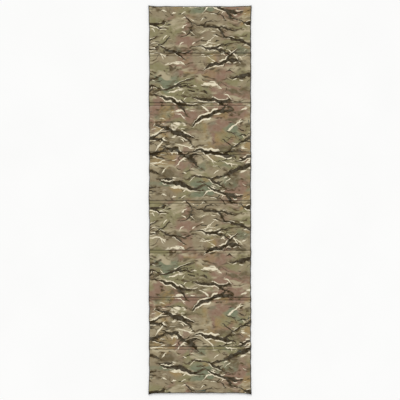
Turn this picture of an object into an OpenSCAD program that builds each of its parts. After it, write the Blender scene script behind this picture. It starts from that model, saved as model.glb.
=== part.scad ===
// Folding padded mat: eight foam panels in one cloth cover, joined by seven sewn fold webs.
// It lies flat with +Z up, its length along Y and its width along X. Panel 1 is at the +Y end.
// The origin is on the ground under the middle of the mat.

/* [Mat] */
// Overall width across the edge binding
mat_width = 504; // [440:1:560]
// Overall thickness of a padded panel
mat_thickness = 10; // [8:0.5:14]
// Length of each panel from fold line to fold line, panel 1 first
panel_lengths = [240, 242, 240, 238, 242, 230, 240, 228]; // [200:1:300]

/* [Cover] */
// Thickness of the cover cloth
cloth = 0.8; // [0.5:0.1:1.2]
// How far the cover slopes inwards between the middle of its edge and its flat face
slope_run = 5; // [3:0.5:8]
// Width of the strip between the two stitch rows of a fold
web_width = 14.8; // [12:0.2:20]
// Width of the flat sewn margin on each side of a stitch row
margin = 1; // [0.8:0.1:2]

/* [Edge binding] */
// Width of the binding tape that shows on each face
binding_width = 3.6; // [3:0.1:6]
// Thickness of the binding tape
tape = 0.6; // [0.4:0.1:1]

/* [Stitching] */
// Width of a stitch row
thread_width = 1; // [0.8:0.1:1.4]
// Height of a stitch row above the cloth it holds
thread_height = 0.4; // [0.3:0.1:0.6]

/* [Foam] */
// Clearance between a foam board and the inside of its cover
foam_clearance = 0.15; // [0.1:0.05:0.5]
// Corner radius of a foam board
foam_corner = 10; // [5:1:20]

/* [Hidden] */

panel_count = len(panel_lengths);
mid = mat_thickness / 2;

// Distance along the mat from its +Y end to the end of panel k, with 0 before panel 1
function run_to(k) = k == 0 ? 0 : panel_lengths[k - 1] + run_to(k - 1);
mat_length = run_to(panel_count);
function line_y(k) = mat_length / 2 - run_to(k);

// The sewn seam is flat: two cloths, with the tape folded over them at the mat's outer edge
seam_height = 2 * cloth;
seam_edge = web_width / 2 - margin;
pocket_edge = web_width / 2 + margin;
binding_height = seam_height + 2 * tape;
cover_width = mat_width - 2 * tape;
pocket_width = mat_width - 2 * binding_width;

// Where a panel's parts end, measured from its end line: a fold line or the mat's outer end
function is_outer(line) = line == 0 || line == panel_count;
function sewn_gap(line) = is_outer(line) ? tape : seam_edge;
function pocket_gap(line) = is_outer(line) ? binding_width : pocket_edge;
function binding_gap(line) = is_outer(line) ? 0 : seam_edge;

// A box between two Y values and between two heights, centred on X
module strip(width, y_high, y_low, z_low, z_high) {
    translate([-width / 2, y_low, z_low])
        cube([width, y_high - y_low, z_high - z_low]);
}

// Cross-section of the padded half: full width at the seam, narrower at the flat face
module padded_outline(width, height, run) {
    polygon([
        [-width / 2, 0],
        [width / 2, 0],
        [width / 2 - run, height],
        [-width / 2 + run, height]
    ]);
}

// The padded half of a panel above the seam, with all four of its sides sloping inwards
module padded_half(width, y_high, y_low, height, run) {
    span = y_high - y_low;
    translate([0, (y_high + y_low) / 2, mid])
        intersection() {
            rotate([90, 0, 0])
                linear_extrude(height = span, center = true)
                    padded_outline(width, height, run);
            rotate([90, 0, 90])
                linear_extrude(height = width, center = true)
                    padded_outline(span, height, run);
        }
}

// One cloth of a panel's cover: a hollow padded half with a flat sewn margin all round
module upper_cloth(k) {
    y_high = line_y(k - 1) - pocket_gap(k - 1);
    y_low = line_y(k) + pocket_gap(k);
    difference() {
        union() {
            padded_half(pocket_width, y_high, y_low, mid, slope_run);
            strip(
                cover_width,
                line_y(k - 1) - sewn_gap(k - 1),
                line_y(k) + sewn_gap(k),
                mid, mid + cloth
            );
        }
        translate([0, 0, -cloth])
            padded_half(pocket_width, y_high, y_low, mid, slope_run);
    }
}

module top_cover(k) {
    color([0.53, 0.48, 0.38]) upper_cloth(k);
}

module base_cover(k) {
    color([0.23, 0.22, 0.19])
        translate([0, 0, mat_thickness])
            mirror([0, 0, 1]) upper_cloth(k);
}

// A loose board with rounded upright corners, as thick as the pocket allows
module foam_core(k) {
    inset = slope_run + foam_clearance;
    y_high = line_y(k - 1) - pocket_gap(k - 1) - inset;
    y_low = line_y(k) + pocket_gap(k) + inset;
    width = pocket_width - 2 * inset;
    z_low = cloth + foam_clearance;
    height = mat_thickness - 2 * z_low;
    color([0.30, 0.33, 0.30]) {
        strip(width - 2 * foam_corner, y_high, y_low, z_low, z_low + height);
        strip(width, y_high - foam_corner, y_low + foam_corner, z_low, z_low + height);
        for (side = [-1, 1], y = [y_high - foam_corner, y_low + foam_corner])
            translate([side * (width / 2 - foam_corner), y, z_low])
                cylinder(h = height, r = foam_corner, $fn = 48);
    }
}

// Tape folded over the cover's outer edges: both sides, and the end on an end panel
module edge_binding(k) {
    y_high = line_y(k - 1) - binding_gap(k - 1);
    y_low = line_y(k) + binding_gap(k);
    inner_high = is_outer(k - 1) ? y_high - binding_width : y_high + 1;
    inner_low = is_outer(k) ? y_low + binding_width : y_low - 1;
    slot_high = is_outer(k - 1) ? y_high - tape : y_high + 1;
    slot_low = is_outer(k) ? y_low + tape : y_low - 1;
    color([0.20, 0.20, 0.19])
        difference() {
            strip(mat_width, y_high, y_low, mid - binding_height / 2, mid + binding_height / 2);
            strip(pocket_width, inner_high, inner_low, 0, mat_thickness);
            strip(cover_width, slot_high, slot_low, mid - seam_height / 2, mid + seam_height / 2);
        }
}

// One row of thread on both faces of the seam, between two opposite corners given as [x, y]
module thread_row(low, high, seam) {
    for (z = [mid + seam / 2, mid - seam / 2 - thread_height])
        translate([low[0], low[1], z])
            cube([high[0] - low[0], high[1] - low[1], thread_height]);
}

// The thread that closes panel k's pocket: a row along each of its four sides
module stitching(k) {
    half = thread_width / 2;
    row_x = mat_width / 2 - binding_width / 2 - tape / 2;
    y_high = line_y(k - 1) - binding_gap(k - 1);
    y_low = line_y(k) + binding_gap(k);
    color([0.25, 0.24, 0.20]) {
        for (x = [-row_x, row_x])
            thread_row([x - half, y_low + end_gap(k)], [x + half, y_high - end_gap(k - 1)], binding_height);
        for (line = [k - 1, k])
            end_row(k, line, row_x);
    }
}

// Room that the side rows leave for the end row, which runs across an outer end's binding
function end_gap(line) = is_outer(line) ? binding_width / 2 + tape / 2 - thread_width / 2 : 0;

// The row across the mat at one end of panel k, along a fold or along the bound outer end
module end_row(k, line, row_x) {
    half = thread_width / 2;
    inward = line == k ? 1 : -1;
    outer = is_outer(line);
    y = line_y(line) + inward * (outer ? binding_width / 2 + tape / 2 : web_width / 2);
    reach = outer ? row_x - half : pocket_width / 2;
    thread_row([-reach, y - half], [reach, y + half], outer ? binding_height : seam_height);
}

// The flexible strip at fold k: both cloths, with the binding tape running on across its ends
module fold_web(k) {
    y_high = line_y(k) + seam_edge;
    y_low = line_y(k) - seam_edge;
    color([0.45, 0.41, 0.32]) {
        strip(cover_width, y_high, y_low, mid - seam_height / 2, mid + seam_height / 2);
        for (side = [-1, 1])
            translate([side * (mat_width - binding_width) / 2, 0, 0])
                strip(binding_width, y_high, y_low, mid - binding_height / 2, mid + binding_height / 2);
    }
}

for (k = [1:panel_count]) {
    foam_core(k);
    top_cover(k);
    base_cover(k);
    edge_binding(k);
    stitching(k);
}
for (k = [1:panel_count - 1]) {
    fold_web(k);
}
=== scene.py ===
"""The looks of a folding padded mat: cloth covers, foam boards, edge binding, stitches and fold webs.

Lengths are in metres and angles in radians. The mat lies with its length along Y and its head end at +Y.
"""
import math

import bpy
import numpy as np
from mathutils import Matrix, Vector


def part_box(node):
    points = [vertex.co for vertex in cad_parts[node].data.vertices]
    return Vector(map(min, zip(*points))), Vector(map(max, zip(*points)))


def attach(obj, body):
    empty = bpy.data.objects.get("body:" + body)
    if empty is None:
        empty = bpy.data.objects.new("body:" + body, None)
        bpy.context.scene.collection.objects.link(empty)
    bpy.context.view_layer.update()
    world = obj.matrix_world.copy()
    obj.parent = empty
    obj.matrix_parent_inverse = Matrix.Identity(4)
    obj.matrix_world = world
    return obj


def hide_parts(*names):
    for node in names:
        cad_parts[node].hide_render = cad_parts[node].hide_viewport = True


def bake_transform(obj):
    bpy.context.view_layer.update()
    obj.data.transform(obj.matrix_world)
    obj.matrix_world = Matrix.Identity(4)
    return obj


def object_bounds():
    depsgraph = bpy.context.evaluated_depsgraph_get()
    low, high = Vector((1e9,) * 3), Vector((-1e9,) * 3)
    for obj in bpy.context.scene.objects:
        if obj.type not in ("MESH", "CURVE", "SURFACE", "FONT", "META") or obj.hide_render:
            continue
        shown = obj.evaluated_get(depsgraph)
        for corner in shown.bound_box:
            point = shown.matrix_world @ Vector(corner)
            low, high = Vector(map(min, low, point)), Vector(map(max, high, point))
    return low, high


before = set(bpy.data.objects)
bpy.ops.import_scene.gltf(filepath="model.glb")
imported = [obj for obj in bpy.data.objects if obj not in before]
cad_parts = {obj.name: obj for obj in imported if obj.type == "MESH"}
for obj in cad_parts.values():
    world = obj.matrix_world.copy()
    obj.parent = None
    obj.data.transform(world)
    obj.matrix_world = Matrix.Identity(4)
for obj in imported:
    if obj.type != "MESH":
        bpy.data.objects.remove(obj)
cad_low, cad_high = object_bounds()

# ---- sizes, worked out from the frame ------------------------------------------------------------

PANELS = sum(name.startswith("top_cover_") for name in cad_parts)
HALF_WIDTH = cad_high.x
HALF_LENGTH = cad_high.y
MID = (cad_low.z + cad_high.z) / 2
FACE = cad_high.z
CLOTH = 0.0008                                        # one thickness of cover cloth
SEAM_TOP = MID + CLOTH                                # the upper side of the flat sewn seam
PAD_RISE = FACE - SEAM_TOP                            # how far the flat face stands above the seam
TAPE = 0.0006                                         # thickness of the binding tape
BINDING = 0.0036                                      # how far the tape reaches in over each face
FLANGE_GAP = 2.2 * TAPE                               # from the bound edge to the cloth inside the tape
FLANGE_EDGE = HALF_WIDTH - FLANGE_GAP
POCKET_HALF = HALF_WIDTH - BINDING
WEB_HALF = (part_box("fold_web_1")[1].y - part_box("fold_web_1")[0].y) / 2
MARGIN = 0.002                                        # flat cloth between a web and the pocket's edge
POCKET_GAP = WEB_HALF + MARGIN
ROW_GAP = WEB_HALF + MARGIN / 2                       # from a fold line to a stitch row beside it
ROW_INSET = 0.0021                                    # from the bound edge to its stitch row

# How far the padding bulges out over the seam at each side, more at the left and at the foot
BULGE_LEFT = 0.0026
BULGE_RIGHT = 0.0015
BULGE_HEAD = 0.0015
BULGE_FOOT = 0.0028
BULGE_FOLD = 0.0014
RISE_RUN = 0.0112                                     # from the seam in to where the face is flat
RISE_ANGLES = np.radians([0, 11, 23, 36, 50, 68, 90])
CELL = 0.0064                                         # size of the cloth cells before they are subdivided
PLEAT_REACH = 0.007                                   # how far in from a seam its pleats are highest
PLEAT_HEIGHT = 0.000368
CROWN = 0.0004                                        # how much higher a panel stands in its middle
UNEVEN = 0.00024                                      # height of the shallow lumps of a used pad
ROOM_AT_FOLD = 0.00008                                # how far a pad may stand above the face at a fold
ROOM_IN_MIDDLE = 0.0005                               # and away from the folds
ROOM_REACH = 0.10

# The cloth simulation
SIMULATED_FRAMES = 20
CLOTH_PRESSURE = 4
CLOTH_SHRINK = -0.012                                 # the cloth is cut a little larger than the pad
WRINKLE_WINDOW = 3                                    # cells to each side that are averaged as broad shape
WRINKLE_CAP = 0.0007                                  # the most that a wrinkle may stand from the pad

# How the outline departs from a straight rectangle
SIDE_PULL = 0.0020                                    # how far the long sides pull in away from the corners
PANEL_PULL = 0.0016                                   # how much further they pull in between two folds
SIDE_DRIFT = 0.0012                                   # how far the long sides wander
HEAD_PULL = 0.0044                                    # how far each outer end pulls in between its corners
FOOT_PULL = 0.0076
END_DRIFT = 0.0007                                    # how far the two ends wander


def line_y(k):
    """The Y of fold line k; line 0 is the head end of the mat and the last line its foot."""
    if k == 0:
        return HALF_LENGTH
    if k == PANELS:
        return -HALF_LENGTH
    low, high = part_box(f"fold_web_{k}")
    return (low.y + high.y) / 2


LINES = np.array([line_y(k) for k in range(PANELS + 1)])


def is_outer(line):
    return line in (0, PANELS)


# ---- seeded waves and the lie of the mat ---------------------------------------------------------

def waves(seed, place, shortest, longest, count=7):
    """A smooth random curve between about -1 and 1, made of sines with lengths in the range given."""
    rng = np.random.default_rng(seed)
    lengths = np.exp(rng.uniform(math.log(shortest), math.log(longest), count))
    phases = rng.uniform(0, 2 * math.pi, count)
    total = sum(np.sin(2 * math.pi * place / length + phase) for length, phase in zip(lengths, phases))
    return total / math.sqrt(count)


def lumps(seed, x, y, shortest, longest, count=14):
    """A smooth random surface between about -1 and 1."""
    rng = np.random.default_rng(seed)
    total = 0.0
    for _ in range(count):
        heading, phase = rng.uniform(0, 2 * math.pi, 2)
        length = math.exp(rng.uniform(math.log(shortest), math.log(longest)))
        total = total + np.sin(2 * math.pi * (x * math.cos(heading) + y * math.sin(heading)) / length + phase)
    return total / math.sqrt(count)


def between_lines(y):
    """0 at each fold line and end, and close to 1 in between."""
    share = np.interp(-y, -LINES, np.arange(PANELS + 1)) % 1.0
    return 1 - np.abs(2 * share - 1) ** 3


def lay(points):
    """Moves points of the flat mat to where they lie: sides and ends pull in a little between corners."""
    x, y = points[:, 0], points[:, 1]
    side = np.sign(x)
    outward = np.abs(x) / HALF_WIDTH
    drift = np.where(side > 0, waves(31, y, 0.05, 0.5), waves(32, y, 0.05, 0.5)) * SIDE_DRIFT
    pull = PANEL_PULL * between_lines(y) + (SIDE_PULL + drift) * (1 - (y / HALF_LENGTH) ** 12)
    moved = points.copy()
    moved[:, 0] = x - side * pull * outward ** 2
    across = 1 - outward ** 10
    for end, line, most, seed in ((1, LINES[1], HEAD_PULL, 33), (-1, LINES[-2], FOOT_PULL, 34)):
        depth = np.clip((end * y - end * line) / (HALF_LENGTH - end * line), 0, 1)
        inward = across * (most + END_DRIFT * waves(seed, x, 0.04, 0.25)) * depth ** 2
        moved[:, 1] -= end * inward
    return moved


# ---- meshes --------------------------------------------------------------------------------------

def grid_faces(rows, columns, start=0, flip=False):
    """Quads over a grid of points stored row by row; they face up when rows run to +X and columns to +Y."""
    corner = start + np.arange(rows * columns).reshape(rows, columns)
    quads = np.stack([corner[:-1, :-1], corner[1:, :-1], corner[1:, 1:], corner[:-1, 1:]], axis=-1)
    quads = quads.reshape(-1, 4)
    return quads[:, ::-1] if flip else quads


def closed_grid_faces(rows, columns):
    """Faces of a closed pad between two grids, the upper one stored first: upper, lower and rim."""
    count = rows * columns
    index = np.arange(count).reshape(rows, columns)
    rim = np.concatenate([index[:-1, 0], index[-1, :-1], index[:0:-1, -1], index[0, :0:-1]])
    after = np.roll(rim, -1)
    edge = np.stack([rim, rim + count, after + count, after], axis=-1)
    return grid_faces(rows, columns), grid_faces(rows, columns, count, flip=True), edge


def make_mesh(name, points, faces, materials, face_slots=None, attributes=None):
    """An object with smooth sides and sharp-edged ends, its materials and its named point attributes."""
    mesh = bpy.data.meshes.new(name)
    mesh.from_pydata(np.asarray(points).tolist(), [], [list(map(int, face)) for face in faces])
    for material in materials:
        mesh.materials.append(material)
    if face_slots is not None:
        mesh.polygons.foreach_set("material_index", np.asarray(face_slots, np.int32))
    mesh.polygons.foreach_set("use_smooth", [True] * len(mesh.polygons))
    for label, (kind, values) in (attributes or {}).items():
        attribute = mesh.attributes.new(label, kind, "POINT")
        field = "vector" if kind == "FLOAT_VECTOR" else "value"
        attribute.data.foreach_set(field, np.asarray(values, np.float32).ravel())
    mesh.validate()
    ends = {key for face in mesh.polygons if face.loop_total > 4 for key in face.edge_keys}
    mesh.edges.foreach_set("use_edge_sharp", [edge.key in ends for edge in mesh.edges])
    piece = bpy.data.objects.new(name, mesh)
    bpy.context.scene.collection.objects.link(piece)
    return piece


def bake_modifiers(piece):
    """Applies every modifier on a piece, keeping its attributes."""
    graph = bpy.context.evaluated_depsgraph_get()
    final = piece.evaluated_get(graph)
    mesh = bpy.data.meshes.new_from_object(final, preserve_all_data_layers=True, depsgraph=graph)
    piece.modifiers.clear()
    piece.data = mesh
    mesh.polygons.foreach_set("use_smooth", [True] * len(mesh.polygons))


def sweep(count, size, flip=False):
    """Faces of a closed solid through count rings of size points each, stored ring by ring."""
    faces = []
    for ring in range(count - 1):
        for i in range(size):
            j = (i + 1) % size
            faces.append((ring * size + i, ring * size + j, (ring + 1) * size + j, (ring + 1) * size + i))
    faces.append(tuple(range(size))[::-1])
    faces.append(tuple(range((count - 1) * size, count * size)))
    return [face[::-1] for face in faces] if flip else faces


# ---- padded covers -------------------------------------------------------------------------------

def edge_profile(bulge):
    """Distances in from the seam, on the flat plan and at full height, and the share of the rise there."""
    flat = RISE_RUN * (RISE_ANGLES / RISE_ANGLES[-1]) ** 1.2
    full = RISE_RUN * (1 - np.cos(RISE_ANGLES)) - bulge * np.sin(np.minimum(2 * RISE_ANGLES, math.pi))
    return flat, full, np.sin(RISE_ANGLES)


def pad_axis(low, high, bulge_low, bulge_high, flange_low, flange_high):
    """Positions along one axis of a padded cover, from its flange on one side to its flange on the other."""
    flat_low, full_low, rise_low = edge_profile(bulge_low)
    flat_high, full_high, rise_high = edge_profile(bulge_high)
    span = high - low - 2 * RISE_RUN
    count = max(2, round(span / CELL))
    inner = low + RISE_RUN + np.arange(1, count) * span / count
    flat = np.concatenate([[flange_low], low + flat_low, inner, (high - flat_high)[::-1], [flange_high]])
    full = np.concatenate([[flange_low], low + full_low, inner, (high - full_high)[::-1], [flange_high]])
    rise = np.concatenate([[0], rise_low, np.ones(count - 1), rise_high[::-1], [0]])
    return flat, full, rise


def panel_axes(k):
    """The two axes of panel k's cover, X first."""
    across = pad_axis(-POCKET_HALF, POCKET_HALF, BULGE_LEFT, BULGE_RIGHT, -FLANGE_EDGE, FLANGE_EDGE)
    head, foot = LINES[k - 1], LINES[k]
    head_gap, head_bulge, head_flange = POCKET_GAP, BULGE_FOLD, WEB_HALF
    foot_gap, foot_bulge, foot_flange = POCKET_GAP, BULGE_FOLD, WEB_HALF
    if is_outer(k - 1):
        head_gap, head_bulge, head_flange = BINDING, BULGE_HEAD, FLANGE_GAP
    if is_outer(k):
        foot_gap, foot_bulge, foot_flange = BINDING, BULGE_FOOT, FLANGE_GAP
    along = pad_axis(foot + foot_gap, head - head_gap, foot_bulge, head_bulge,
                     foot + foot_flange, head - head_flange)
    return across, along


def puckers(k, x, y):
    """Height of the small pleats that run in from the seams of panel k."""
    foot, head = LINES[k] + POCKET_GAP, LINES[k - 1] - POCKET_GAP
    seams = ((x, y - foot), (x, head - y), (y, x + POCKET_HALF), (y, POCKET_HALF - x))
    total = 0.0
    for number, (along, inside) in enumerate(seams, start=1):
        seed = 100 * k + number
        reach = np.clip(inside, 0, None) / PLEAT_REACH
        strength = 0.6 + 0.4 * waves(seed + 50, along, 0.06, 0.3)
        total = total + reach * np.exp(1 - reach) * strength * waves(seed, along, 0.011, 0.034)
    return PLEAT_HEIGHT * total


def cover_points(k, side):
    """Panel k's cloth before simulation, as a grid of points; side is 1 for the top and -1 for the base."""
    (flat_x, full_x, rise_x), (flat_y, full_y, rise_y) = panel_axes(k)
    rise = rise_x[:, None] * rise_y[None, :]
    x = flat_x[:, None] + (full_x - flat_x)[:, None] * rise_y[None, :]
    y = flat_y[None, :] + (full_y - flat_y)[None, :] * rise_x[:, None]
    z = MID + side * (CLOTH + PAD_RISE * rise + puckers(k, x, y) * rise)
    plan = np.stack(np.broadcast_arrays(flat_x[:, None], flat_y[None, :], 0.0), axis=-1)
    return np.stack([x, y, z], axis=-1), plan, rise


def smooth(field, radius, passes=2):
    """A grid of vectors averaged over its neighbours, to leave only its broad shape."""
    for _ in range(passes):
        for axis in (0, 1):
            pad = [(radius, radius) if a == axis else (0, 0) for a in range(field.ndim)]
            padded = np.pad(field, pad, mode="edge")
            total = np.cumsum(np.insert(padded, 0, 0.0, axis=axis), axis=axis)
            window = 2 * radius + 1
            ahead = np.take(total, np.arange(window, total.shape[axis]), axis=axis)
            behind = np.take(total, np.arange(0, total.shape[axis] - window), axis=axis)
            field = (ahead - behind) / window
    return field


def cushion(k):
    """Panel k's two cloths as one closed pad, ready for the cloth simulation, pinned along its seams."""
    top, _, rise = cover_points(k, 1)
    base, _, _ = cover_points(k, -1)
    points = np.concatenate([top.reshape(-1, 3), base.reshape(-1, 3)])
    piece = make_mesh(f"cushion_{k}", points, np.concatenate(closed_grid_faces(*rise.shape)), [])
    pinned = np.flatnonzero(np.concatenate([rise.ravel(), rise.ravel()]) < 1e-6)
    piece.vertex_groups.new(name="seam").add(pinned.tolist(), 1.0, "REPLACE")
    cloth = piece.modifiers.new("Cloth", "CLOTH")
    settings = cloth.settings
    settings.quality = 4
    settings.mass = 0.3
    settings.tension_stiffness = 12
    settings.compression_stiffness = 12
    settings.bending_stiffness = 0.4
    settings.shrink_min = CLOTH_SHRINK
    settings.shrink_max = CLOTH_SHRINK
    settings.use_pressure = True
    settings.uniform_pressure_force = CLOTH_PRESSURE
    settings.vertex_group_mass = "seam"
    settings.effector_weights.gravity = 0
    cloth.collision_settings.use_collision = False
    cloth.point_cache.frame_end = SIMULATED_FRAMES
    return piece, points, rise.shape


def simulate_covers():
    """Runs the cloth simulation of every panel at once; gives the wrinkles of each panel's top and base."""
    pads = {k: cushion(k) for k in range(1, PANELS + 1)}
    scene = bpy.context.scene
    scene.frame_start = 1
    scene.frame_end = SIMULATED_FRAMES
    for number in range(1, SIMULATED_FRAMES + 1):
        scene.frame_set(number)
    wrinkles = {}
    graph = bpy.context.evaluated_depsgraph_get()
    for k, (piece, start, shape) in pads.items():
        mesh = piece.evaluated_get(graph).data
        moved = np.empty(len(mesh.vertices) * 3, np.float32)
        mesh.vertices.foreach_get("co", moved)
        shift = (moved.reshape(-1, 3) - start).reshape(2, *shape, 3)
        for face in (0, 1):
            fine = shift[face] - smooth(shift[face], WRINKLE_WINDOW)
            wrinkles[k, 1 - 2 * face] = WRINKLE_CAP * np.tanh(fine / WRINKLE_CAP)
    for piece, _, _ in pads.values():
        mesh = piece.data
        bpy.data.objects.remove(piece)
        bpy.data.meshes.remove(mesh)
    scene.frame_set(1)
    return wrinkles


def fold_limit(k, y):
    """The highest that panel k's face may stand, lower near its folds, where panels close on each other."""
    near = np.minimum(LINES[k - 1] - y, y - LINES[k])
    return FACE + np.interp(near, (0, ROOM_REACH), (ROOM_AT_FOLD, ROOM_IN_MIDDLE))


def cover_piece(name, k, side, wrinkles, material):
    """Panel k's top or base cloth, as a thin shell with its wrinkles."""
    points, plan, rise = cover_points(k, side)
    if (k, side) in wrinkles:
        points = points + wrinkles[k, side] * rise[..., None]
    x, y = points[..., 0], points[..., 1]
    crown = rise * between_lines(y) * (1 - np.abs(x / POCKET_HALF) ** 4)
    uneven = UNEVEN * lumps(200 + 2 * k + side, x, y, 0.05, 0.16)
    if side > 0:
        z = points[..., 2] + CROWN * crown + uneven * rise
        points[..., 2] = np.minimum(z, fold_limit(k, y))
    else:
        points[..., 2] = np.maximum(points[..., 2], 0.0)
    rows, columns = rise.shape
    wear = np.clip(4 * rise * (1.15 - rise), 0, 1)
    # Painted shade in the grooves along the seams: 1 where the cloth leaves the seam, none once it has risen
    # a little over half way
    seam_shade = np.clip(1 - 1.8 * rise, 0, 1)
    attributes = {"print": ("FLOAT_VECTOR", plan.reshape(-1, 3)), "wear": ("FLOAT", wear.ravel()),
                  "seam_shade": ("FLOAT", seam_shade.ravel())}
    piece = make_mesh(name, lay(points.reshape(-1, 3)), grid_faces(rows, columns, flip=side < 0), [material],
                      attributes=attributes)
    finer = piece.modifiers.new("Finer", "SUBSURF")
    finer.levels = 1
    finer.render_levels = 1
    finer.boundary_smooth = "PRESERVE_CORNERS"
    shell = piece.modifiers.new("Shell", "SOLIDIFY")
    shell.thickness = CLOTH
    shell.offset = -1
    bake_modifiers(piece)
    return piece


# ---- foam boards ---------------------------------------------------------------------------------

FOAM_CORNER = 0.010
FOAM_EDGE = 0.0028                                    # how far a board's worn edges are rounded
FOAM_RINGS = (0.02, 0.04, 0.06, 0.08)                 # how far in from the edge its face has points
FOAM_STEP = 0.02                                      # spacing of the points along its sides
FOAM_DENT = 0.00018


def foam_outline(low, high):
    """A board's outline with rounded corners, and points along its straight sides for its dents."""
    corners = []
    for turn, (sign_x, sign_y) in enumerate(((1, 1), (-1, 1), (-1, -1), (1, -1))):
        x = sign_x * (high.x - FOAM_CORNER)
        y = high.y - FOAM_CORNER if sign_y > 0 else low.y + FOAM_CORNER
        for angle in np.linspace(turn * math.pi / 2, (turn + 1) * math.pi / 2, 7):
            corners.append((x + FOAM_CORNER * math.cos(angle), y + FOAM_CORNER * math.sin(angle)))
    corners = np.array(corners)
    outline = []
    for a, b in zip(corners, np.roll(corners, -1, axis=0)):
        steps = max(1, round(np.linalg.norm(b - a) / FOAM_STEP))
        outline.extend(a + (b - a) * i / steps for i in range(steps))
    return np.array(outline)


def foam_board(k, material):
    """Board k: soft rounded edges, and faces with the shallow dents of use."""
    low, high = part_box(f"foam_core_{k}")
    half = (high.z - low.z) / 2
    rounding = [(FOAM_EDGE * (1 - math.sin(a)), half - FOAM_EDGE * (1 - math.cos(a)))
                for a in np.radians([0, 22.5, 45, 67.5, 90])]
    upper = [(inset, half) for inset in FOAM_RINGS[::-1]] + rounding
    lower = [(inset, -height) for inset, height in upper[::-1]]
    outline = foam_outline(low, high)
    centre = np.array([0.0, (low.y + high.y) / 2])
    reach = np.array([high.x, (high.y - low.y) / 2])
    rings = []
    for inset, height in upper + lower:
        flat = centre + (outline - centre) * (reach - inset) / reach
        dent = FOAM_DENT * (lumps(300 + k, flat[:, 0], flat[:, 1], 0.04, 0.2) - 1)
        rings.append(np.column_stack([flat, MID + height * (1 + dent / half)]))
    faces = sweep(len(rings), len(outline), flip=True)
    return make_mesh(f"foam_board_{k}", lay(np.concatenate(rings)), faces, [material])


# ---- edge binding --------------------------------------------------------------------------------

TAPE_TOP = 0.00136                                    # from the middle of the seam to the tape's outer face
TAPE_INSIDE = 0.00084                                 # from the middle of the seam to its inner face
TAPE_BEND = np.radians(np.linspace(90, 270, 9))


def tape_section():
    """The folded tape's outline: how far in from the edge, and how high above the middle of the seam."""
    bend = np.column_stack([np.cos(TAPE_BEND), np.sin(TAPE_BEND)])
    outer_bend = TAPE_TOP * (bend + (1, 0))
    inner_bend = TAPE_INSIDE * bend[::-1] + (TAPE_TOP, 0)
    upper = [(BINDING, 0.97 * TAPE_TOP), (ROW_INSET, TAPE_TOP)]
    lower = [(ROW_INSET, -TAPE_TOP), (BINDING, -0.97 * TAPE_TOP), (BINDING, -TAPE_INSIDE)]
    return np.concatenate([upper, outer_bend, lower, inner_bend, [(BINDING, TAPE_INSIDE)]])


TAPE_SECTION = tape_section()
STITCH_PITCH = 0.0042
TAPE_PINCH = 0.00005                                  # how far each stitch draws the tape together
TAPE_SLIP = 0.00018                                   # how far the tape's inner edges wander
TAPE_LIFT = 0.00010                                   # how far the folded edge wanders up and down


def binding_run(corners, spacing=STITCH_PITCH / 3):
    """The folded tape along a run of straight edges, given by its corner points and mitred there."""
    corners = np.array(corners, float)
    sides = np.diff(corners, axis=0)
    lengths = np.linalg.norm(sides, axis=1)
    headings = sides / lengths[:, None]
    normals = np.column_stack([headings[:, 1], -headings[:, 0]])
    places, inwards = [corners[0]], [normals[0]]
    for i, (start, side, length) in enumerate(zip(corners, sides, lengths)):
        count = round(length / spacing)
        for step in range(1, count + 1):
            mitred = step == count and i + 1 < len(sides)
            places.append(start + side * step / count)
            inwards.append(normals[i] + normals[i + 1] if mitred else normals[i])
    places, inwards = np.array(places), np.array(inwards)
    x, y = places[:, 0], places[:, 1]
    pinch = TAPE_PINCH * np.cos(2 * math.pi * (x + y) / STITCH_PITCH)
    slip = TAPE_SLIP * lumps(401, x, y, 0.02, 0.2)
    lift = TAPE_LIFT * lumps(402, x, y, 0.02, 0.15)
    section_in, section_up = TAPE_SECTION.T
    inner = section_in / BINDING
    depth = section_in + slip[:, None] * inner
    plan = places[:, None, :] + inwards[:, None, :] * depth[..., None]
    drawn_in = np.sign(section_up) * pinch[:, None] * inner
    height = MID + section_up + drawn_in + lift[:, None] * (1 - inner)
    points = np.concatenate([plan, height[..., None]], axis=-1).reshape(-1, 3)
    return points, sweep(len(places), len(TAPE_SECTION), flip=True)


def joined(parts):
    """Several runs of points and faces as one."""
    points, faces, start = [], [], 0
    for part_points, part_faces in parts:
        points.append(part_points)
        faces.extend([tuple(i + start for i in face) for face in part_faces])
        start += len(part_points)
    return np.concatenate(points), faces


def edge_binding(k, material):
    """The binding of panel k: its two sides, and the end of the mat on the first and last panels."""
    head = LINES[k - 1] - (0 if is_outer(k - 1) else WEB_HALF)
    foot = LINES[k] + (0 if is_outer(k) else WEB_HALF)
    left_foot, left_head = (-HALF_WIDTH, foot), (-HALF_WIDTH, head)
    right_foot, right_head = (HALF_WIDTH, foot), (HALF_WIDTH, head)
    if is_outer(k - 1):
        runs = [[left_foot, left_head, right_head, right_foot]]
    elif is_outer(k):
        runs = [[right_head, right_foot, left_foot, left_head]]
    else:
        runs = [[left_foot, left_head], [right_head, right_foot]]
    points, faces = joined([binding_run(run) for run in runs])
    return make_mesh(f"edge_binding_tape_{k}", lay(points), faces, [material])


# ---- stitches ------------------------------------------------------------------------------------

STITCH_LENGTH = 0.0034
THREAD = 0.00034                                      # radius of the thread
# Each ring of a stitch: its place, from -1 at one end to 1 at the other, and its share of the thickness
STITCH_RINGS = ((-1.0, 0.3), (-0.72, 0.9), (0.0, 1.0), (0.72, 0.9), (1.0, 0.3))
STITCH_SIDES = 6
STITCH_ARCH = 0.55                                    # how high a stitch stands, in thread radiuses
STITCH_SCATTER = 0.00008                              # how far a stitch strays from its row
STITCH_SLANT = 0.05


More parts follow.
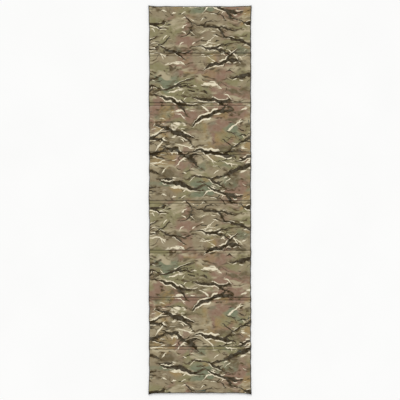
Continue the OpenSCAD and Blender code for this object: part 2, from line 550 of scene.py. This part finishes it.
def stitch_row(start, end, height, up, seed):
    """Single stitches from start to end on a face at the height given; up is 1 on top and -1 beneath."""
    start, end = np.array(start, float), np.array(end, float)
    length = np.linalg.norm(end - start)
    heading = (end - start) / length
    sideways = np.array([-heading[1], heading[0]])
    count = max(1, round(length / STITCH_PITCH))
    rng = np.random.default_rng(seed)
    points, faces = [], []
    for i in range(count):
        centre = start + heading * length * (i + 0.5) / count + sideways * rng.normal(0, STITCH_SCATTER)
        slant = heading + sideways * rng.normal(STITCH_SLANT, 0.03)
        for t, thickness in STITCH_RINGS:
            plan = centre + slant * t * STITCH_LENGTH / 2
            middle = height + up * THREAD * (STITCH_ARCH - t * t)
            for j in range(STITCH_SIDES):
                angle = 2 * math.pi * j / STITCH_SIDES
                out = plan + sideways * THREAD * thickness * math.cos(angle)
                points.append((out[0], out[1], middle + THREAD * thickness * math.sin(angle)))
    one = sweep(len(STITCH_RINGS), STITCH_SIDES)
    each = len(STITCH_RINGS) * STITCH_SIDES
    for i in range(count):
        faces.extend([tuple(v + i * each for v in face) for face in one])
    return np.array(points), faces


def stitches(k, material):
    """The thread that closes panel k's pocket: a row along each side, on both faces."""
    rows = []
    side_x = HALF_WIDTH - ROW_INSET
    for line, inward in ((k - 1, -1), (k, 1)):
        gap, reach, height = ROW_GAP, POCKET_HALF, CLOTH
        if is_outer(line):
            gap, reach, height = ROW_INSET, side_x, TAPE_TOP
        y = LINES[line] + inward * gap
        rows.append(((-reach, y), (reach, y), height))
    foot = LINES[k] + (ROW_INSET if is_outer(k) else WEB_HALF)
    head = LINES[k - 1] - (ROW_INSET if is_outer(k - 1) else WEB_HALF)
    for x in (-side_x, side_x):
        rows.append(((x, foot), (x, head), TAPE_TOP))
    parts = []
    for i, (start, end, height) in enumerate(rows):
        for up in (1, -1):
            parts.append(stitch_row(start, end, MID + up * height, up, 500 + 20 * k + 2 * i + (up > 0)))
    points, faces = joined(parts)
    return make_mesh(f"stitches_{k}", lay(points), faces, [material])


# ---- fold webs -----------------------------------------------------------------------------------

TUCK = 0.0004                                         # how far a web reaches in under the cloth beside it
FOLD_SPACING = 0.0005                                 # close rows of points, because a fold bends them
WEB_RIPPLE = 0.00022
WEB_CREASE = 0.0001
WEB_DIP = 0.0002                                      # how far the top cloth sinks between its stitch rows


def fold_web(k, top_material, base_material):
    """The two cloths between the stitch rows of fold k, as one closed strip."""
    y_high, y_low = LINES[k] + WEB_HALF, LINES[k] - WEB_HALF
    across = np.linspace(-FLANGE_EDGE, FLANGE_EDGE, 127)
    along = np.concatenate([[y_low - TUCK], np.linspace(y_low, y_high, 23), [y_high + TUCK]])
    x, y = np.meshgrid(across, along, indexing="ij")
    middle = np.clip(1 - ((y - LINES[k]) / WEB_HALF) ** 2, 0, 1)
    ripple = WEB_RIPPLE * waves(600 + k, x, 0.015, 0.07) + WEB_CREASE * waves(620 + k, x, 0.008, 0.02)
    tucked = np.abs(y - LINES[k]) > WEB_HALF + TUCK / 2
    half = np.where(tucked, CLOTH * 0.6, CLOTH)
    top = np.stack([x, y, MID + half + middle * (ripple - WEB_DIP)], axis=-1).reshape(-1, 3)
    base = np.stack([x, y, MID - half + middle * ripple], axis=-1).reshape(-1, 3)
    points = np.concatenate([top, base])
    upper, lower, edge = closed_grid_faces(*x.shape)
    slots = [0] * len(upper) + [1] * (len(lower) + len(edge))
    plan = points * (1, 1, 0)
    # Painted shade in the grooves at the web's stitch rows: none at the fold line, full at the rows
    seam_shade = np.clip(np.abs(points[:, 1] - LINES[k]) / WEB_HALF, 0, 1) ** 3
    attributes = {"print": ("FLOAT_VECTOR", plan), "wear": ("FLOAT", 0 * seam_shade), "seam_shade": ("FLOAT", seam_shade)}
    return make_mesh(f"fold_cloth_{k}", lay(points), np.concatenate([upper, lower, edge]),
                     [top_material, base_material], slots, attributes)


def fold_binding(k, material):
    """The binding tape where it runs on across the two ends of fold k."""
    y_high, y_low = LINES[k] + WEB_HALF, LINES[k] - WEB_HALF
    runs = ([(-HALF_WIDTH, y_low), (-HALF_WIDTH, y_high)], [(HALF_WIDTH, y_high), (HALF_WIDTH, y_low)])
    points, faces = joined([binding_run(run, FOLD_SPACING) for run in runs])
    return make_mesh(f"fold_binding_{k}", lay(points), faces, [material])


# ---- materials -----------------------------------------------------------------------------------

def srgb(red, green, blue):
    """A linear colour from its 8-bit screen values."""
    def linear(c):
        c /= 255
        return c / 12.92 if c <= 0.04045 else ((c + 0.055) / 1.055) ** 2.4
    return (linear(red), linear(green), linear(blue), 1.0)


class Graph:
    """Adds linked nodes to a node tree, so that a formula reads as one."""

    def __init__(self, tree):
        self.tree = tree
        self.nodes = tree.nodes

    def put(self, value, socket):
        if isinstance(value, bpy.types.NodeSocket):
            self.tree.links.new(value, socket)
        else:
            socket.default_value = value

    def math(self, operation, *values):
        node = self.nodes.new("ShaderNodeMath")
        node.operation = operation
        for value, socket in zip(values, node.inputs):
            self.put(value, socket)
        return node.outputs[0]

    def vector(self, operation, *values):
        node = self.nodes.new("ShaderNodeVectorMath")
        node.operation = operation
        for value, socket in zip(values, node.inputs):
            self.put(value, socket)
        return node.outputs[0]

    def scale(self, vector, factor):
        node = self.nodes.new("ShaderNodeVectorMath")
        node.operation = "SCALE"
        self.put(vector, node.inputs[0])
        self.put(factor, node.inputs["Scale"])
        return node.outputs[0]

    def parts(self, vector):
        node = self.nodes.new("ShaderNodeSeparateXYZ")
        self.put(vector, node.inputs[0])
        return node.outputs[0], node.outputs[1], node.outputs[2]

    def join(self, x, y, z=0.0):
        node = self.nodes.new("ShaderNodeCombineXYZ")
        for value, socket in zip((x, y, z), node.inputs):
            self.put(value, socket)
        return node.outputs[0]

    def noise(self, vector, scale, detail=2.0, roughness=0.5, output="Fac"):
        node = self.nodes.new("ShaderNodeTexNoise")
        self.put(vector, node.inputs["Vector"])
        for name, value in (("Scale", scale), ("Detail", detail), ("Roughness", roughness)):
            self.put(value, node.inputs[name])
        return node.outputs[output]

    def voronoi(self, vector, scale, output="Distance"):
        node = self.nodes.new("ShaderNodeTexVoronoi")
        self.put(vector, node.inputs["Vector"])
        self.put(scale, node.inputs["Scale"])
        return node.outputs[output]

    def step(self, value, low, high, start=0.0, end=1.0):
        """start at low and end at high, smooth in between."""
        node = self.nodes.new("ShaderNodeMapRange")
        node.interpolation_type = "SMOOTHSTEP"
        for name, given in (("Value", value), ("From Min", low), ("From Max", high), ("To Min", start),
                            ("To Max", end)):
            self.put(given, node.inputs[name])
        return node.outputs[0]

    def mix(self, factor, first, second):
        node = self.nodes.new("ShaderNodeMix")
        node.data_type = "RGBA"
        for name, value in (("Factor_Float", factor), ("A_Color", first), ("B_Color", second)):
            self.put(value, next(s for s in node.inputs if s.identifier == name))
        return next(s for s in node.outputs if s.identifier == "Result_Color")

    def attribute(self, name, output):
        node = self.nodes.new("ShaderNodeAttribute")
        node.attribute_name = name
        return node.outputs[output]

    def object_place(self):
        return self.nodes.new("ShaderNodeTexCoord").outputs["Object"]


def finished(name, sheen, specular, build):
    """A material whose colour, roughness and height come from build; the other values are constants."""
    material = bpy.data.materials.new(name)
    material.use_nodes = True
    g = Graph(material.node_tree)
    shader = g.nodes["Principled BSDF"]
    shader.inputs["Sheen Weight"].default_value = sheen
    shader.inputs["Sheen Roughness"].default_value = 0.6
    shader.inputs["Specular IOR Level"].default_value = specular
    colour, roughness, height, depth = build(g)
    g.put(colour, shader.inputs["Base Color"])
    g.put(roughness, shader.inputs["Roughness"])
    bump = g.nodes.new("ShaderNodeBump")
    bump.inputs["Strength"].default_value = 0.7
    bump.inputs["Distance"].default_value = depth
    g.put(height, bump.inputs["Height"])
    g.put(bump.outputs["Normal"], shader.inputs["Normal"])
    return material


def weave(g, place, pitch):
    """Height of a plain weave of the pitch given, from 0 to 1: threads that rise and fall in turn."""
    x, y, _ = g.parts(place)
    turn = 2 * math.pi / pitch
    warp = g.math("SINE", g.math("MULTIPLY", x, turn))
    weft = g.math("SINE", g.math("MULTIPLY", y, turn))
    return g.math("MULTIPLY_ADD", g.math("MULTIPLY", warp, weft), 0.5, 0.5)


# The print is a camouflage of its own design, in soft patches with strokes over them
PRINT_REPEAT = 0.9                                    # length along the cloth after which the print repeats
TAN = srgb(135, 121, 95)
LIGHT_TAN = srgb(152, 139, 111)
PALE = srgb(172, 160, 130)
RUSSET = srgb(138, 111, 92)
OLIVE = srgb(134, 127, 92)
OCHRE = srgb(150, 127, 86)
SAGE = srgb(117, 122, 97)
SHADE = srgb(104, 92, 67)
BARK = srgb(82, 68, 44)
DARK = srgb(52, 42, 23)
CREAM = srgb(230, 220, 192)
# Kinds of stroke. One of a kind may be drawn in each cell of a grid, at a place, slant and size that white
# noise gives. A whole kind may reach into the cells beside its own.
BRANCHES = dict(seed=1.0, cell=(0.18, 0.090), half_length=0.112, half_width=0.0074, spread=1.0, bow=0.016,
                fork=0.34, chance=0.64, whole=True)
OFFSHOOTS = dict(seed=2.0, cell=(0.10, 0.060), half_length=0.044, half_width=0.0032, spread=1.9, bow=0.008,
                 fork=0.5, chance=0.46, whole=True)
TWIGS = dict(seed=4.0, cell=(0.12, 0.075), half_length=0.050, half_width=0.0029, spread=1.6, bow=0.010,
             fork=0.42, chance=0.36, whole=True)
DARK_DABS = dict(seed=3.0, cell=(0.06, 0.036), half_length=0.018, half_width=0.0026, spread=1.2, bow=0.004,
                 fork=0.0, chance=0.45, whole=False)
CREAM_DABS = dict(seed=5.0, cell=(0.05, 0.030), half_length=0.014, half_width=0.0020, spread=1.2, bow=0.003,
                  fork=0.0, chance=0.36, whole=False)
BRUSH = dict(seed=6.0, cell=(0.18, 0.100), half_length=0.055, half_width=0.009, spread=0.9, bow=0.012,
             fork=0.0, chance=0.45, whole=False)


def stroke_group(name, seed, cell, half_length, half_width, spread, bow, fork, chance, whole):
    """A node group: how far a point lies inside the stroke of one cell, and inside the light beside it."""
    tree = bpy.data.node_groups.new(name, "ShaderNodeTree")
    for socket in ("Point", "Corner"):
        tree.interface.new_socket(name=socket, in_out="INPUT", socket_type="NodeSocketVector")
    for socket in ("Depth", "Light"):
        tree.interface.new_socket(name=socket, in_out="OUTPUT", socket_type="NodeSocketFloat")
    g = Graph(tree)
    given = g.nodes.new("NodeGroupInput").outputs
    size = (cell[0], cell[1], 1.0)
    rows = round(PRINT_REPEAT / cell[1])
    steps = g.vector("DIVIDE", given["Point"], size)
    if whole:
        steps = g.vector("SUBTRACT", steps, (0.5, 0.5, 0.0))
    own = g.vector("ADD", g.vector("FLOOR", steps), given["Corner"])
    own_x, own_y, _ = g.parts(own)
    drawn = g.nodes.new("ShaderNodeTexWhiteNoise")
    g.put(g.join(own_x, g.math("FLOORED_MODULO", own_y, float(rows)), seed), drawn.inputs["Vector"])
    one, two, three = g.parts(drawn.outputs["Color"])
    jitter = g.scale(g.vector("SUBTRACT", g.join(one, two, 0.5), (0.5, 0.5, 0.5)), 0.7 if whole else 0.4)
    centre = g.vector("MULTIPLY", g.vector("ADD", g.vector("ADD", own, (0.5, 0.5, 0.0)), jitter), size)
    away_x, away_y, _ = g.parts(g.vector("SUBTRACT", given["Point"], centre))
    angle = g.math("MULTIPLY", g.math("SUBTRACT", three, 0.5), spread)
    cosine, sine = g.math("COSINE", angle), g.math("SINE", angle)
    along = g.math("ADD", g.math("MULTIPLY", away_x, cosine), g.math("MULTIPLY", away_y, sine))
    across = g.math("SUBTRACT", g.math("MULTIPLY", away_y, cosine), g.math("MULTIPLY", away_x, sine))
    share = g.math("DIVIDE", along, half_length)
    curl = g.math("MULTIPLY", g.math("SUBTRACT", one, 0.5), 2 * bow)
    across = g.math("SUBTRACT", across, g.math("MULTIPLY", curl, g.math("MULTIPLY", share, share)))
    if fork:
        opening = g.math("SUBTRACT", along, g.math("MULTIPLY", two, half_length * 0.6))
        spread_out = g.math("MULTIPLY", g.math("MAXIMUM", opening, 0.0), fork)
        across = g.math("SUBTRACT", g.math("ABSOLUTE", across), spread_out)
    taper = g.math("SUBTRACT", 1.0, g.math("MULTIPLY", share, share))
    half = g.math("MULTIPLY", taper, g.math("MULTIPLY_ADD", two, half_width * 0.9, half_width * 0.55))
    absent = g.math("GREATER_THAN", drawn.outputs["Value"], chance)
    out = g.nodes.new("NodeGroupOutput")
    g.put(g.math("SUBTRACT", g.math("SUBTRACT", half, g.math("ABSOLUTE", across)), absent), out.inputs[0])
    beside = g.math("SUBTRACT", across, g.math("MULTIPLY_ADD", half, 1.4, 0.0016))
    light = g.math("SUBTRACT", g.math("MULTIPLY", half, 0.42), g.math("ABSOLUTE", beside))
    g.put(g.math("SUBTRACT", light, absent), out.inputs[1])
    return tree


def strokes(g, point, name, kind):
    """How far a point lies inside the nearest stroke of a kind, and inside the light beside it."""
    tree = stroke_group(name, **kind)

    def within(corner):
        node = g.nodes.new("ShaderNodeGroup")
        node.node_tree = tree
        g.put(point, node.inputs["Point"])
        node.inputs["Corner"].default_value = corner
        return node.outputs["Depth"], node.outputs["Light"]

    depth, light = within((0, 0, 0))
    for corner in ((1, 0, 0), (0, 1, 0), (1, 1, 0)) if kind["whole"] else ():
        other_depth, other_light = within(corner)
        depth = g.math("MAXIMUM", depth, other_depth)
        light = g.math("MAXIMUM", light, other_light)
    return depth, light


def camouflage(g, place):
    """The print's colour at a point of the flat cloth."""
    x, y, _ = g.parts(place)
    # the cloth rolled up once per repeat, so that the noise joins up with itself
    turn = g.math("MULTIPLY", y, 2 * math.pi / PRINT_REPEAT)
    radius = PRINT_REPEAT / (2 * math.pi)
    roll = g.join(x, g.math("MULTIPLY", g.math("SINE", turn), radius),
                  g.math("MULTIPLY", g.math("COSINE", turn), radius))

    def wobble(scale, size):
        shift = g.vector("SUBTRACT", g.noise(roll, scale, 1.0, 0.5, "Color"), (0.5, 0.5, 0.5))
        return g.scale(shift, size)

    bent = g.vector("ADD", roll, wobble(14.0, 0.06))

    def patches(shift, scale, low, high, squeeze, detail=2.0, rough=0.55):
        spot = g.vector("ADD", g.vector("MULTIPLY", bent, (squeeze, 1.0, 1.0)), (shift, 0.0, 0.0))
        return g.step(g.noise(spot, scale, detail, rough), low, high)

    russet = patches(3.1, 5, 0.46, 0.57, 1.15)
    # in the calm areas the strokes grow thinner and end
    thinned = g.math("MULTIPLY", patches(41.0, 6, 0.50, 0.60, 0.7), 0.0045)
    colour = g.mix(patches(1.3, 10, 0.38, 0.62, 0.45), TAN, LIGHT_TAN)
    colour = g.mix(russet, colour, RUSSET)
    colour = g.mix(patches(14.3, 6, 0.55, 0.66, 1.2), colour, OCHRE)
    colour = g.mix(patches(5.7, 7, 0.52, 0.63, 0.7), colour, OLIVE)
    colour = g.mix(patches(7.9, 7, 0.60, 0.70, 0.8), colour, SAGE)
    colour = g.mix(patches(9.4, 24, 0.52, 0.66, 0.3, 3.0, 0.6), colour, PALE)
    colour = g.mix(patches(11.2, 22, 0.53, 0.67, 0.3, 3.0, 0.6), colour, SHADE)
    colour = g.mix(patches(27.2, 50, 0.58, 0.68, 0.25, 3.0, 0.6), colour, BARK)
    hand = g.vector("ADD", wobble(16.0, 0.045), g.vector("ADD", wobble(60.0, 0.012), wobble(220.0, 0.003)))
    drawn = g.vector("ADD", g.join(x, y), g.vector("MULTIPLY", hand, (1.0, 1.0, 0.0)))
    streak = patches(21.0, 85, 0.42, 0.58, 0.2, 2.0, 0.6)
    branch, branch_light = strokes(g, drawn, "branches", BRANCHES)
    bark = g.math("MULTIPLY", g.step(branch, -0.012, -0.001), g.step(streak, 0.3, 0.7))
    colour = g.mix(bark, colour, BARK)
    brush = strokes(g, drawn, "brush_marks", BRUSH)[0]
    broken = g.math("MULTIPLY", g.step(brush, 0.0, 0.0015), g.math("MULTIPLY_ADD", streak, 0.6, 0.4))
    colour = g.mix(broken, colour, g.mix(streak, PALE, CREAM))
    lights = g.math("MULTIPLY", g.step(branch_light, -0.0002, 0.0006), patches(31.0, 20, 0.49, 0.55, 0.5))
    colour = g.mix(lights, colour, CREAM)
    for name, kind, ink in (("dark_dabs", DARK_DABS, DARK), ("offshoots", OFFSHOOTS, DARK),
                            ("twigs", TWIGS, CREAM), ("cream_dabs", CREAM_DABS, CREAM)):
        depth = g.math("SUBTRACT", strokes(g, drawn, name, kind)[0], thinned)
        colour = g.mix(g.step(depth, -0.0003, 0.0006), colour, ink)
    return g.mix(g.step(branch, -0.0003, 0.0006), colour, DARK)


PRINTED_PITCH = 0.0011                                # from thread to thread of the printed cloth
COATED_PITCH = 0.0013
RIB_PITCH = 0.0013
TWIST_PITCH = 0.0007


def camouflage_cloth(g):
    place = g.attribute("print", "Vector")
    colour = camouflage(g, place)
    threads = weave(g, place, PRINTED_PITCH)
    # Painted shade of the weave: the print is darker on the low threads and lighter on the high ones
    shade = g.math("MULTIPLY_ADD", threads, 0.10, 0.95)
    # Painted shade: the print is darkened by up to about half in the seam grooves that seam_shade marks
    colour = g.scale(colour, g.math("MULTIPLY_ADD", g.attribute("seam_shade", "Fac"), -0.48, 1.0))
    patchy = g.step(g.noise(place, 60, 3), 0.35, 0.7, 0.0, 0.16)
    faded = g.math("MULTIPLY", g.attribute("wear", "Fac"), patchy)
    colour = g.mix(faded, g.scale(colour, shade), srgb(196, 190, 172))
    roughness = g.step(g.noise(place, 180, 2), 0.3, 0.7, 0.80, 0.94)
    slubs = g.noise(g.vector("MULTIPLY", place, (1.0, 4.0, 1.0)), 240, 2)
    height = g.math("MULTIPLY_ADD", slubs, 0.6, threads)
    return colour, roughness, height, 0.00018


def plain_base_cloth(g):
    place = g.object_place()
    threads = weave(g, place, COATED_PITCH)
    mottle = g.step(g.noise(place, 18, 3), 0.3, 0.7)
    colour = g.mix(mottle, srgb(54, 53, 47), srgb(66, 65, 57))
    colour = g.mix(g.step(g.noise(place, 9, 4), 0.55, 0.75, 0.0, 0.2), colour, srgb(92, 88, 76))
    roughness = g.step(g.noise(place, 60, 3), 0.3, 0.7, 0.55, 0.78)
    # Painted shade of the weave: the colour is darker where the threads lie low
    return g.scale(colour, g.math("MULTIPLY_ADD", threads, 0.24, 0.86)), roughness, threads, 0.00022


def binding_tape(g):
    place = g.object_place()
    x, y, z = g.parts(place)
    turn = 2 * math.pi / RIB_PITCH
    slanted = g.math("ADD", g.math("ADD", x, y), g.math("MULTIPLY", z, 1.6))
    ribs = g.math("MULTIPLY_ADD", g.math("SINE", g.math("MULTIPLY", slanted, turn)), 0.5, 0.5)
    colour = g.mix(g.step(g.noise(place, 40, 3), 0.3, 0.7), srgb(24, 25, 24), srgb(37, 37, 34))
    roughness = g.step(g.noise(place, 120, 2), 0.3, 0.7, 0.72, 0.9)
    # Painted shade of the ribs: the colour is darker in the hollows between them
    return g.scale(colour, g.math("MULTIPLY_ADD", ribs, 0.35, 0.8)), roughness, ribs, 0.00016


def sewing_thread(g):
    place = g.object_place()
    x, y, z = g.parts(place)
    turn = 2 * math.pi / TWIST_PITCH
    twist = g.math("SINE", g.math("MULTIPLY", g.math("ADD", g.math("ADD", x, y), z), turn))
    twist = g.math("MULTIPLY_ADD", twist, 0.5, 0.5)
    colour = g.mix(g.step(g.noise(place, 90, 2), 0.3, 0.7), srgb(46, 39, 26), srgb(64, 56, 40))
    roughness = g.step(g.noise(place, 150, 2), 0.3, 0.7, 0.5, 0.7)
    # Painted shade of the twist: the colour is darker in the grooves between its strands
    return g.scale(colour, g.math("MULTIPLY_ADD", twist, 0.4, 0.75)), roughness, twist, 0.0001


def closed_cell_foam(g):
    place = g.object_place()
    cells = g.voronoi(place, 900)
    colour = g.mix(g.step(g.noise(place, 25, 4), 0.35, 0.65), srgb(74, 82, 74), srgb(90, 97, 87))
    roughness = g.step(g.noise(place, 200, 2), 0.3, 0.7, 0.8, 0.95)
    # Painted shade of the cells: the colour is darker in each cell's hollow than on its walls
    return g.scale(colour, g.step(cells, 0.1, 0.6, 0.8, 1.05)), roughness, cells, 0.0003


CAMOUFLAGE = finished("camouflage_cloth", 0.03, 0.08, camouflage_cloth)
BASE_CLOTH = finished("base_cloth", 0.05, 0.35, plain_base_cloth)
TAPE_CLOTH = finished("binding_tape", 0.04, 0.12, binding_tape)
THREAD_FINISH = finished("thread", 0.04, 0.20, sewing_thread)
FOAM = finished("foam", 0.0, 0.20, closed_cell_foam)


# ---- the mat -------------------------------------------------------------------------------------

def place_piece(piece, body, slot, *nodes):
    """Rides a piece on its body and hides the CAD nodes that it stands for; slot, the name of its finish, is
    not used.
    """
    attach(piece, body)
    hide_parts(*nodes)


def build_panel(k, wrinkles):
    body = f"panel_{k}"
    top = cover_piece(f"top_cloth_{k}", k, 1, wrinkles, CAMOUFLAGE)
    place_piece(top, body, "camouflage_cloth", f"top_cover_{k}")
    base = cover_piece(f"base_cloth_{k}", k, -1, wrinkles, BASE_CLOTH)
    place_piece(base, body, "base_cloth", f"base_cover_{k}")
    board = foam_board(k, FOAM)
    place_piece(board, body, "foam", f"foam_core_{k}")
    place_piece(edge_binding(k, TAPE_CLOTH), body, "binding_tape", f"edge_binding_{k}")
    place_piece(stitches(k, THREAD_FINISH), body, "thread", f"stitching_{k}")


def build_fold(k):
    """The web of fold k and its binding, which lie between one panel and the next."""
    web = fold_web(k, CAMOUFLAGE, BASE_CLOTH)
    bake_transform(web)
    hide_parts(f"fold_web_{k}")
    tape = fold_binding(k, TAPE_CLOTH)
    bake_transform(tape)


panel_wrinkles = simulate_covers()
for panel in range(1, PANELS + 1):
    build_panel(panel, panel_wrinkles)
for fold in range(1, PANELS):
    build_fold(fold)


# ---- floor, light and camera ---------------------------------------------------------------------

VIEW_HEIGHT = 1.951                                   # length that the picture takes in at the mat's face
CAMERA_RISE = 5.4                                     # height of the camera above the mat's face
FLOOR_HALF = 20
FLOOR_GAP = 0.0002                                    # keeps the floor just clear of the base cloth


def make_floor():
    reach = FLOOR_HALF
    corners = [(-reach, -reach, 0), (reach, -reach, 0), (reach, reach, 0), (-reach, reach, 0)]
    floor = make_mesh("floor", corners, [(0, 1, 2, 3)], [])
    floor.location.z = -FLOOR_GAP
    material = bpy.data.materials.new("floor")
    material.use_nodes = True
    g = Graph(material.node_tree)
    shader = g.nodes["Principled BSDF"]
    shade = g.step(g.noise(g.object_place(), 3, 2), 0.2, 0.8)
    g.put(g.mix(shade, srgb(249, 249, 248), srgb(251, 251, 250)), shader.inputs["Base Color"])
    shader.inputs["Roughness"].default_value = 0.9
    shader.inputs["Specular IOR Level"].default_value = 0.0
    floor.data.materials.append(material)


def make_light():
    world = bpy.data.worlds.new("studio")
    bpy.context.scene.world = world
    world.use_nodes = True
    background = world.node_tree.nodes["Background"]
    background.inputs["Color"].default_value = (1.0, 1.0, 1.0, 1.0)
    background.inputs["Strength"].default_value = 0.70
    lamp = bpy.data.lights.new("key", "SUN")
    lamp.energy = 1.75
    lamp.angle = math.radians(30)
    key = bpy.data.objects.new("key", lamp)
    key.rotation_euler = (math.radians(-56), 0, math.radians(8))
    bpy.context.scene.collection.objects.link(key)


def make_camera():
    lens = bpy.data.cameras.new("camera")
    lens.lens = lens.sensor_width * CAMERA_RISE / VIEW_HEIGHT
    camera = bpy.data.objects.new("camera", lens)
    camera.location = (0, 0, FACE + CAMERA_RISE)
    bpy.context.scene.collection.objects.link(camera)
    bpy.context.scene.camera = camera
    bpy.context.scene.view_settings.view_transform = "Standard"


make_floor()
make_light()
make_camera()
